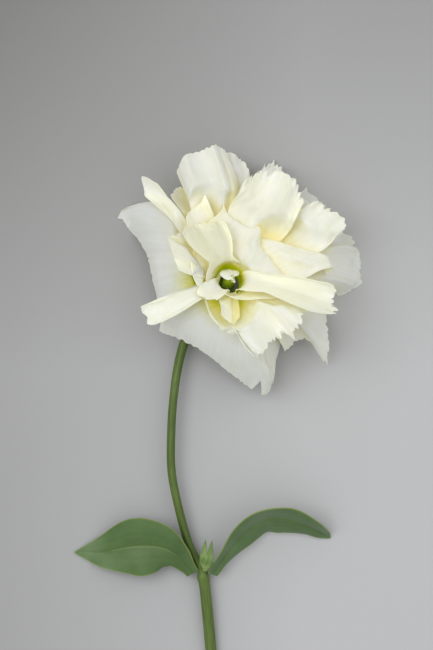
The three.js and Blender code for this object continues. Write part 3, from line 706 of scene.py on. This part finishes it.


# The petal material turns this mark into painted warm shade and a faint painted glow.
def openness(drafts):
    """Adds to each petal how much of the sky above every place on it is free, from 0 to 1."""
    places, faces = [], []
    for _, points, _ in drafts:
        coarse = points[::2, ::2]
        n, m = coarse.shape[:2]
        first = sum(len(p) for p in places)
        places.append(coarse.reshape(-1, 3))
        i, j = np.meshgrid(np.arange(n - 1), np.arange(m - 1), indexing="ij")
        a = first + i * m + j
        faces += np.stack([a, a + 1, a + m + 1, a + m], axis=-1).reshape(-1, 4).tolist()
    tree = BVHTree.FromPolygons(np.concatenate(places).tolist(), faces)
    for _, points, marks in drafts:
        n, m = points.shape[:2]
        rows = np.unique(np.append(np.arange(0, n, SHADE_STEP), n - 1))
        columns = np.unique(np.append(np.arange(0, m, SHADE_STEP), m - 1))
        free = np.zeros((len(rows), len(columns)))
        for i, row in enumerate(rows):
            for j, column in enumerate(columns):
                place = Vector(points[row, column])
                for ray in SKY:
                    hit = tree.ray_cast(place + Vector(ray) * RAY_START, ray, SHADE_REACH)[3]
                    free[i, j] += 1 if hit is None else (hit / SHADE_REACH) ** 2
        free /= len(SKY)
        wide = np.array([np.interp(np.arange(m), columns, line) for line in free])
        marks["open"] = np.array([np.interp(np.arange(n), rows, line) for line in wide.T]).T


def petal_points(row, rows, width, seed, settings):
    columns = int(np.clip(width / COLUMN, LEAST_COLUMNS, MOST_FINE_COLUMNS))
    u = np.linspace(0, 1, FINE_ALONG)
    v = np.linspace(-1, 1, columns)
    steps = rows.shape[0] - 1
    across_rows = np.swapaxes(rows, 0, 1)
    s = np.broadcast_to(((v + 1) / 2 * (rows.shape[1] - 1))[:, None], (columns, steps + 1))
    lines = np.swapaxes(along_columns(across_rows, s), 0, 1)
    length = lines[-1, :, 0] - CLAW_DISTANCE
    x = (v + 1) / 2 * width
    hem = row["hem"]
    radius = abs(hem[1]) if hem else 0
    # A rim that is rolled forward stands a little above the frame's, over what it shelters.
    rolled_from = length - radius * (1 if hem and hem[1] > 0 else FORWARD_START)
    full = rolled_from + hem[0] if hem else length  # along the petal, with its rolled rim
    depth = FRINGE * row["fringe"] * settings.fringe
    cut = teeth(width, depth, seed)(x) + tent(v, row["notches"]) - tent(v, row["tails"])
    near_rim = smooth(TEETH_FROM, 1, u)[:, None]
    reach = u[:, None] * full - cut * near_rim  # millimetres along the petal
    fold = rolled_from if hem else full + PAST_RIM
    bent = np.minimum(reach, fold) / length
    surface = along_columns(lines, np.minimum(bent, FARTHEST) * steps)
    claw = row["wide"] + WIDER_CLAW * (1 - smooth(*CLAW_ALONG, u))[:, None]
    heading = surface[..., 2]
    middle = heading[:, columns // 2 : columns // 2 + 1]
    heading = middle + (heading - middle) * claw
    points = from_heart(surface[..., 0], surface[..., 1], heading)
    outward = unit(from_heart(surface[..., 0], surface[..., 1] + NUDGE, heading) - points)
    if hem:
        before = along_columns(lines, np.broadcast_to((fold / length - STEP_BACK) * steps, bent.shape))
        start = along_columns(lines, np.broadcast_to(fold / length * steps, bent.shape))
        before = from_heart(before[..., 0], before[..., 1], before[..., 2])
        start = from_heart(start[..., 0], start[..., 1], start[..., 2])
        tangent = unit(start - before)
        back = unit(outward - tangent * np.sum(outward * tangent, axis=-1, keepdims=True))
        turn = np.maximum(reach - fold, 0) / radius
        side = 1 if hem[1] > 0 else -1
        rolled = radius * (np.sin(turn)[..., None] * tangent + side * (1 - np.cos(turn))[..., None] * back)
        points = np.where((reach > fold)[..., None], start + rolled, points)
    # Ripples and torn, curling teeth at the rim, sharp folds where a petal has them, and a faint
    # crinkle all over.
    ruffle = row["ruffle"] * settings.ruffle
    flat = np.stack([np.broadcast_to(x, reach.shape), RIPPLE_STRETCH * reach, 0 * reach], axis=-1)
    height = 0
    for sets_in, high, fineness, own in RIPPLES:
        ripple = ruffle * smooth(sets_in, 1, u)[:, None] * high
        height = height + ripple * noise_over(flat, fineness, seed + own)
    curl = CURL * row["fringe"] * smooth(CURL_FROM, 1, u)[:, None]
    height = height + curl * noise_over(flat, CURL_FINENESS, seed + CURL_SEED)
    height = height + tent(v, row["creases"]) * smooth(*CREASED_ALONG, u)[:, None]
    crinkle = CRINKLE * noise_over(points, CRINKLE_FINENESS, seed)
    height = height + crinkle * smooth(*CRINKLED_ALONG, u)[:, None]
    points = points + outward * height[..., None]
    floor = settings.petal_thickness / MM * FLOOR_SHARE
    points[..., 2] = soft_max(points[..., 2], floor, FLOOR_SOFTNESS)
    tint = reach * row["pale"] * TINTED_LENGTH / np.minimum(length.mean(), TINTED_LENGTH)
    marks = {
        "along": tint,
        "across": np.broadcast_to(x, reach.shape) + PATTERN_STEP * seed,
        "rim": (1 - u)[:, None] * full + 0 * reach,
        "shade_grey": np.full(reach.shape, float(row["shade_grey"])),
    }
    return points, marks


class LISIANTHUS_OT_petals(bpy.types.Operator):
    """Makes the petals, from the heart outwards, each lying on those inside it"""

    bl_idname = "lisianthus.petals"
    bl_label = "Petals"

    def execute(self, context):
        settings = context.scene.lisianthus_bloom
        material = petal_material(settings)
        crowd[:] = 0
        drafts = []
        for seed, row in enumerate(PETALS, 1):
            shape = Shape(row)
            rows = laid(shape, shape.rows, shape.columns)
            drafts.append((shape.row, *petal_points(shape.row, rows, shape.width, seed, settings)))
        openness(drafts)
        for row, points, marks in drafts:
            group, number = row["name"].split("_")
            piece = grid_piece(f"{group}_{number}_petal", points, marks)
            thicken(piece, settings.petal_thickness / MM)
            finish_piece(piece, material, f"{group}_petal_{number}", 80)
        return {"FINISHED"}


# ---- Calyx -----------------------------------------------------------------------------------

SEPAL_COUNT = 5
SEPAL_LENGTH = 23
SEPAL_WIDTH = 3.4
SEPAL_HEADING = 57 * DEG
SEPAL_OPEN = 96 * DEG
SEPAL_TIP_WIDTH = 0.25
SEPAL_ROWS = 8
SEPAL_COLUMNS = 2
SEPAL_FINE = (40, 13)
SEPAL_THICKNESS = 0.45
SEPAL_KEEL = 0.25
SEPAL_POINT_FROM = 0.55
SEPAL_POINT_SHARE = 0.92
SEPAL_FLOOR = 0.3


class LISIANTHUS_OT_sepals(bpy.types.Operator):
    """Makes the narrow sepals behind the petals"""

    bl_idname = "lisianthus.sepals"
    bl_label = "Sepals"

    def execute(self, context):
        material = young_green_material("lisianthus_sepal", "#56702f", "#86994e", 0.5)
        for k in range(SEPAL_COUNT):
            turn = SEPAL_HEADING + k * 2 * math.pi / SEPAL_COUNT

            def shape(u, v, turn=turn):
                u, v = u[:, None], v[None, :]
                distance = CLAW_DISTANCE + (SEPAL_LENGTH - CLAW_DISTANCE) * u + 0 * v
                taper = 1 - (1 - SEPAL_TIP_WIDTH) * u * u
                heading = turn + SEPAL_WIDTH * taper * v / 2 / distance
                return np.stack([distance, np.full_like(distance, SEPAL_OPEN), heading], axis=-1)

            rows = laid(shape, SEPAL_ROWS, SEPAL_COLUMNS)
            u, v = np.linspace(0, 1, SEPAL_FINE[0]), np.linspace(-1, 1, SEPAL_FINE[1])
            columns = np.swapaxes(rows, 0, 1)
            s = np.broadcast_to(((v + 1) / 2 * SEPAL_COLUMNS)[:, None], (len(v), SEPAL_ROWS + 1))
            lines = np.swapaxes(along_columns(columns, s), 0, 1)
            fine = along_columns(lines, np.broadcast_to((u * SEPAL_ROWS)[:, None], SEPAL_FINE))
            # Narrowed to a sharp point, with a keel down its back.
            narrow = np.broadcast_to((1 - smooth(SEPAL_POINT_FROM, 1, u) * SEPAL_POINT_SHARE)[:, None], SEPAL_FINE)
            middle = fine[:, SEPAL_FINE[1] // 2, 2][:, None]
            heading = middle + (fine[..., 2] - middle) * narrow
            points = from_heart(fine[..., 0], fine[..., 1], heading)
            outward = unit(from_heart(fine[..., 0], fine[..., 1] + NUDGE, heading) - points)
            points = points + outward * (SEPAL_KEEL * (1 - np.abs(v)))[None, :, None]
            points[..., 2] = soft_max(points[..., 2], SEPAL_FLOOR, FLOOR_SOFTNESS)
            piece = grid_piece(f"sepal_leaf_{k + 1}", points, {})
            thicken(piece, SEPAL_THICKNESS)
            finish_piece(piece, material, f"sepal_{k + 1}")
        return {"FINISHED"}


# ---- Solids of revolution and tubes ----------------------------------------------------------


def smoothed(stations, steps):
    """Places between the rows of an array, on a smooth line, with steps to each row."""
    rows = np.array(stations, float)[:, None, :]
    s = np.linspace(0, len(rows) - 1, (len(rows) - 1) * steps + 1)[:, None]
    return along_columns(rows, s)[:, 0]


def tube_points(middles, radii, sides, slant=0):
    """Rings of points round a line, the first of them cut at a slant."""
    tangents = unit(np.gradient(middles, axis=0))
    side = np.array([1.0, 0.0, 0.0])
    rings = []
    angle = np.linspace(0, 2 * math.pi, sides + 1)
    for k, (middle, tangent) in enumerate(zip(middles, tangents)):
        side = unit(side - tangent * side.dot(tangent))
        up = np.cross(tangent, side)
        radius = radii[k]
        ring = middle + np.cos(angle)[:, None] * side * radius + np.sin(angle)[:, None] * up * radius
        ring = ring + (np.sin(angle) * radius)[:, None] * math.tan(slant) * tangent * (k == 0)
        rings.append(ring)
    return np.array(rings), angle


# Its style is 2.4 mm shorter than the frame's, so that the stigma stays under the curled petal.
PISTIL = [
    (2.7, 0.05), (2.7, 1.4), (4, 1.75), (5.4, 1.9), (7.2, 1.75), (8.2, 1.4), (9.2, 0.9), (9.6, 0.5),
    (10.2, 0.45), (10.7, 0.5), (10.9, 0.85), (11.2, 1.1), (11.6, 0.95), (11.75, 0.4), (11.8, 0.05),
]


class LISIANTHUS_OT_pistil(bpy.types.Operator):
    """Makes the pistil in the throat"""

    bl_idname = "lisianthus.pistil"
    bl_label = "Pistil"

    def execute(self, context):
        material = young_green_material("lisianthus_pistil", "#708a0a", "#97a81c", 0.4)
        profile = smoothed(PISTIL, 3)
        middles = HEART + profile[:, :1] * AXIS
        angle = np.linspace(0, 2 * math.pi, 33)
        groove = 1 - 0.06 * np.cos(2 * angle) ** 8
        radius = np.maximum(profile[:, 1], 0.05)[:, None] * groove
        points = (middles[:, None] + (radius * np.cos(angle))[..., None] * RIGHT
                  + (radius * np.sin(angle))[..., None] * AHEAD)
        piece = grid_piece("pistil_body", points, {}, closed=True)
        finish_piece(piece, material, "pistil")
        return {"FINISHED"}


# ---- Stem ------------------------------------------------------------------------------------

STEM_RADIUS = 1.85
STALK_RADIUS = 1.4
NODE_RADIUS = 2.1
NECK_RADIUS = 1.6
STEM_CUT_SLANT = 35 * DEG

STEM_ROUTE = [
    (-0.3, -141.5, STEM_RADIUS, STEM_RADIUS),
    (-0.8, -131, STEM_RADIUS + 0.1, STEM_RADIUS),
    (-1.6, -121, 2.3, STEM_RADIUS),
    (-2.7, -109, 3.1, STEM_RADIUS),
    (-3.6, -100.5, 3.7, STEM_RADIUS),
    (-4.1, -97.6, 3.9, NODE_RADIUS),
    (-4.8, -94.8, 4.1, STALK_RADIUS + 0.1),
    (-9.2, -85.7, 4.5, STALK_RADIUS),
    (-12.9, -72.1, 5, STALK_RADIUS),
    (-15, -60.2, 5.4, STALK_RADIUS),
    (-15, -46.6, 5.6, STALK_RADIUS),
    (-14.3, -36.4, 5.5, STALK_RADIUS),
    (-12.9, -26.2, 5.2, STALK_RADIUS + 0.1),
    (-10.5, -16.7, 4.6, NECK_RADIUS),
    (-6.6, -9, 3.9, NECK_RADIUS),
    (-2.6, -3.6, 4, NECK_RADIUS),
]
RECEPTACLE = [
    (-7.5, NECK_RADIUS), (-6, NECK_RADIUS), (-4.2, 1.9), (-2.4, 2.6), (-0.6, 3.3), (1, 3.3), (2, 3.1),
    (2.3, 2.6),
]


class LISIANTHUS_OT_stem(bpy.types.Operator):
    """Makes the stem from its slanting cut up to the receptacle"""

    bl_idname = "lisianthus.stem"
    bl_label = "Stem"

    def execute(self, context):
        material = stem_material(context.scene.lisianthus_green)
        below = np.array(STEM_ROUTE)
        below[:, :3] += DRAWN
        above = np.array([(*(HEART + AXIS * height), radius) for height, radius in RECEPTACLE])
        line = smoothed(np.concatenate([below, above]), 10)
        points, angle = tube_points(line[:, :3], line[:, 3], 40, STEM_CUT_SLANT)
        # Four faint ribs run down from the leaf pair, as on a square-shouldered stem.
        ribs = 0.035 * np.cos(4 * angle)[None, :, None] * unit(points - line[:, None, :3])
        points = points + ribs * line[:, 3][:, None, None]
        points[..., 2] = np.maximum(points[..., 2], 0.0)
        along = np.concatenate([[0], np.cumsum(np.linalg.norm(np.diff(line[:, :3], axis=0), axis=1))])
        marks = {"along": along[:, None] + 0 * angle, "around": angle + 0 * along[:, None]}
        # The cut face is a flat cap inside the first ring.
        cap = points[0] + (points[0].mean(axis=0) - points[0]) * 0.12
        centre = points[0] + (points[0].mean(axis=0) - points[0]) * 0.995
        points = np.concatenate([[centre], [cap], points])
        marks = {k: np.concatenate([m[:1], m[:1], m]) for k, m in marks.items()}
        marks["along"][:2] = -1
        piece = grid_piece("stem_cane", points, marks, closed=True)
        finish_piece(piece, material, "stem", 40)
        return {"FINISHED"}


# ---- Leaves ----------------------------------------------------------------------------------

LEAF_KEEL = 0.12
LEAF_BELLY = 0.35
LEAF_FULL_HALF = 6
LEAF_ENDS = 0.3
LEAF_RIPPLE = 0.5
LEAF_RIPPLE_TURNS = 21  # radians along the leaf
SIDE_VEIN_DEPTH = 0.1
SIDE_VEIN_PLACE = 0.42
SIDE_VEIN_SPREAD = 0.05
LEFT_LEAF_WIDTH = 20
RIGHT_LEAF_WIDTH = 17
LEFT_LEAF = [
    (-7.6, -96.2, 4.6, 0.24, 20),
    (-9.6, -93.6, 5.4, 0.34, 34),
    (-13, -89.8, 6.6, 0.56, 24),
    (-18.7, -87.2, 7, 0.86, 10),
    (-27.2, -87, 6, 1, 0),
    (-37.4, -89, 2.6, 0.62, -4),
    (-44.5, -89.6, -0.6, 0.26, 0),
    (-48.6, -89.6, -2, 0.03, 0),
]
RIGHT_LEAF = [
    (-0.9, -96.6, 4.6, 0.22, -30),
    (2.4, -91.2, 7, 0.4, -46),
    (8.5, -83.4, 8.4, 0.72, -52),
    (16, -77.4, 9, 0.96, -54),
    (23.8, -76.8, 8.4, 0.94, -54),
    (32.3, -79.9, 6.4, 0.66, -50),
    (37.2, -82.8, 2.6, 0.3, -40),
    (39.8, -84.6, -1, 0.04, -20),
]


def leaf_points(stations, width, thickness):
    line = smoothed(stations, 12)
    middles = line[:, :3] + DRAWN
    along = unit(np.gradient(middles, axis=0))
    level = unit(np.cross(along, [0.0, 0.0, 1.0]))
    upright = np.cross(level, along)
    turn = (line[:, 4] * DEG)[:, None]
    side = level * np.cos(turn) + upright * np.sin(turn)
    face = np.cross(side, along)
    v = np.linspace(1, -1, 41)
    half = width * np.maximum(line[:, 3], 0.03) / 2
    u = np.linspace(0, 1, len(line))[:, None]
    # Blade arched each side of a sunk midrib, two side veins, and a margin that waves a little.
    full = np.minimum(half / LEAF_FULL_HALF, 1)[:, None]
    lift = LEAF_KEEL * half[:, None] * np.abs(v) + LEAF_BELLY * np.sin(math.pi * np.abs(v)) * full
    lift = lift - 0.25 * np.exp(-((v / 0.05) ** 2)) * smooth(0.0, 0.1, 1 - u)
    ends = smooth(0, LEAF_ENDS, u) * smooth(0, LEAF_ENDS, 1 - u)
    sunk = SIDE_VEIN_DEPTH * np.exp(-(((np.abs(v) - SIDE_VEIN_PLACE) / SIDE_VEIN_SPREAD) ** 2))
    lift = lift - sunk * ends
    lift = lift + LEAF_RIPPLE * np.sin(u * LEAF_RIPPLE_TURNS + 2 * np.sign(v)) * np.abs(v) ** 3 * full
    points = middles[:, None] + side[:, None] * (half[:, None] * v)[..., None]
    points = points + face[:, None] * lift[..., None]
    points[..., 2] = soft_max(points[..., 2], thickness * FLOOR_SHARE, 1.2)
    far = np.concatenate([[0], np.cumsum(np.linalg.norm(np.diff(middles, axis=0), axis=1))])
    marks = {
        "along": far[:, None] + 0 * v, "across": v + 0 * far[:, None],
        "rim": half[:, None] * (1 - np.abs(v)),
    }
    return points, marks


class LISIANTHUS_OT_leaves(bpy.types.Operator):
    """Makes the pair of leaves"""

    bl_idname = "lisianthus.leaves"
    bl_label = "Leaves"

    def execute(self, context):
        settings = context.scene.lisianthus_green
        material = leaf_material(settings)
        thickness = settings.leaf_thickness / MM
        leaves = {"left": (LEFT_LEAF, LEFT_LEAF_WIDTH), "right": (RIGHT_LEAF, RIGHT_LEAF_WIDTH)}
        for side, (stations, width) in leaves.items():
            points, marks = leaf_points(stations, width, thickness)
            piece = grid_piece(f"leaf_{side}", points, marks)
            thicken(piece, thickness)
            finish_piece(piece, material, f"{side}_leaf", 80)
        return {"FINISHED"}


SHOOT_FOOT = (-3.5, -95.2, 7.4)
SHOOT_TOWARDS = (0.12, 0.93, 0.35)
SHOOT_LENGTH = 12
SHOOT_FORK = 6
SHOOT_WIDTH = 4.4
SHOOT_THICKNESS = 0.4


class LISIANTHUS_OT_shoot(bpy.types.Operator):
    """Makes the tiny forked shoot between the leaves"""

    bl_idname = "lisianthus.shoot"
    bl_label = "Side shoot"

    def execute(self, context):
        material = young_green_material("lisianthus_young_leaf", "#4f6a35", "#788f52", 0.5)
        foot = np.array(SHOOT_FOOT) + DRAWN
        towards = unit(np.array(SHOOT_TOWARDS))
        aside = unit(np.cross(towards, [0.0, 0.0, 1.0]))
        above = np.cross(aside, towards)
        u, v = np.linspace(0, 1, 40)[:, None], np.linspace(1, -1, 33)
        fork = 1 - np.abs(2 * np.abs(v) - 1)
        reach = SHOOT_FORK + (SHOOT_LENGTH - SHOOT_FORK) * fork**0.8
        spread = SHOOT_WIDTH / 2 * v * (0.3 + 0.7 * smooth(0, 0.6, u))
        lift = 0.7 * (np.abs(np.abs(v) - 0.5) * 2) ** 1.5 * smooth(0.1, 0.6, u) - 0.3 * u * u
        points = foot + (reach * u)[..., None] * towards + spread[..., None] * aside + lift[..., None] * above
        piece = grid_piece("shoot_leaflets", points, {})
        thicken(piece, SHOOT_THICKNESS)
        finish_piece(piece, material, "axillary_shoot", 80)
        return {"FINISHED"}


# ---- Stage -----------------------------------------------------------------------------------

LENS = 100
SENSOR = 36
FIELD = 221  # height of what the camera sees, in millimetres, at the height of the level plane
LEVEL = 12
VIEW_MIDDLE = (0.51, -10.88)
FLOOR_SIZE = 6
AIM_HEIGHT = 0.02
KEY_PLACE = (-0.5, 0.2, 1.0)
KEY_SIZE = 0.8
FILL_PLACE = (0.6, 0.25, 0.9)
FILL_SIZE = 1.0
ROOM_COLOR = "#f6f6f4"
ROOM_STRENGTH = 0.78


def area_light(name, place, size, power, aim):
    data = bpy.data.lights.new(name, "AREA")
    data.size = size
    data.energy = power
    lamp = bpy.data.objects.new(name, data)
    bpy.context.scene.collection.objects.link(lamp)
    lamp.location = place
    lamp.rotation_euler = (Vector(place) - aim).to_track_quat("Z", "Y").to_euler()


class LISIANTHUS_OT_stage(bpy.types.Operator):
    """Adds the floor, the lights and the camera"""

    bl_idname = "lisianthus.stage"
    bl_label = "Stage"

    def execute(self, context):
        settings = context.scene.lisianthus_stage
        bpy.ops.object.select_all(action="DESELECT")
        bpy.ops.mesh.primitive_plane_add(size=FLOOR_SIZE, location=(0, 0, 0))
        floor = context.object
        floor.name = "floor"
        floor.data.materials.append(card_material(settings))

        middle = Vector((*(DRAWN[:2] * MM), AIM_HEIGHT))
        area_light("key", Vector(KEY_PLACE) + middle, KEY_SIZE, settings.key, middle)
        area_light("fill", Vector(FILL_PLACE) + middle, FILL_SIZE, settings.fill, middle)
        world = bpy.data.worlds.new("soft_room")
        world.use_nodes = True
        back = world.node_tree.nodes["Background"]
        back.inputs["Color"].default_value = linear(ROOM_COLOR)
        back.inputs["Strength"].default_value = ROOM_STRENGTH
        context.scene.world = world

        camera = bpy.data.objects.new("camera", bpy.data.cameras.new("camera"))
        context.scene.collection.objects.link(camera)
        camera.data.lens = LENS
        camera.data.sensor_width = SENSOR
        camera.data.clip_end = 20
        away = FIELD * LENS / SENSOR + LEVEL
        camera.location = ((DRAWN[0] + VIEW_MIDDLE[0]) * MM, (DRAWN[1] + VIEW_MIDDLE[1]) * MM, away * MM)
        context.scene.camera = camera
        context.scene.view_settings.view_transform = "Standard"
        return {"FINISHED"}


# ---- Panel and registration ------------------------------------------------------------------

OPERATORS = (
    LISIANTHUS_OT_petals, LISIANTHUS_OT_sepals, LISIANTHUS_OT_pistil, LISIANTHUS_OT_stem,
    LISIANTHUS_OT_leaves, LISIANTHUS_OT_shoot, LISIANTHUS_OT_stage,
)


class LISIANTHUS_PT_panel(bpy.types.Panel):
    """Lists the settings and the pieces"""

    bl_label = "Cut lisianthus"
    bl_idname = "LISIANTHUS_PT_panel"
    bl_space_type = "VIEW_3D"
    bl_region_type = "UI"
    bl_category = "Lisianthus"

    def draw(self, context):
        for group in ("lisianthus_bloom", "lisianthus_green", "lisianthus_stage"):
            settings = getattr(context.scene, group)
            box = self.layout.box()
            for name in settings.__annotations__:
                box.prop(settings, name)
        for operator in OPERATORS:
            self.layout.operator(operator.bl_idname)


CLASSES = (BloomSettings, GreenSettings, StageSettings, *OPERATORS, LISIANTHUS_PT_panel)


def register():
    for cls in CLASSES:
        bpy.utils.register_class(cls)
    bpy.types.Scene.lisianthus_bloom = bpy.props.PointerProperty(type=BloomSettings)
    bpy.types.Scene.lisianthus_green = bpy.props.PointerProperty(type=GreenSettings)
    bpy.types.Scene.lisianthus_stage = bpy.props.PointerProperty(type=StageSettings)


def unregister():
    for name in ("lisianthus_bloom", "lisianthus_green", "lisianthus_stage"):
        delattr(bpy.types.Scene, name)
    for cls in reversed(CLASSES):
        bpy.utils.unregister_class(cls)


def main():
    register()
    for operator in OPERATORS:
        group, name = operator.bl_idname.split(".")
        getattr(getattr(bpy.ops, group), name)()


if __name__ == "__main__":
    main()
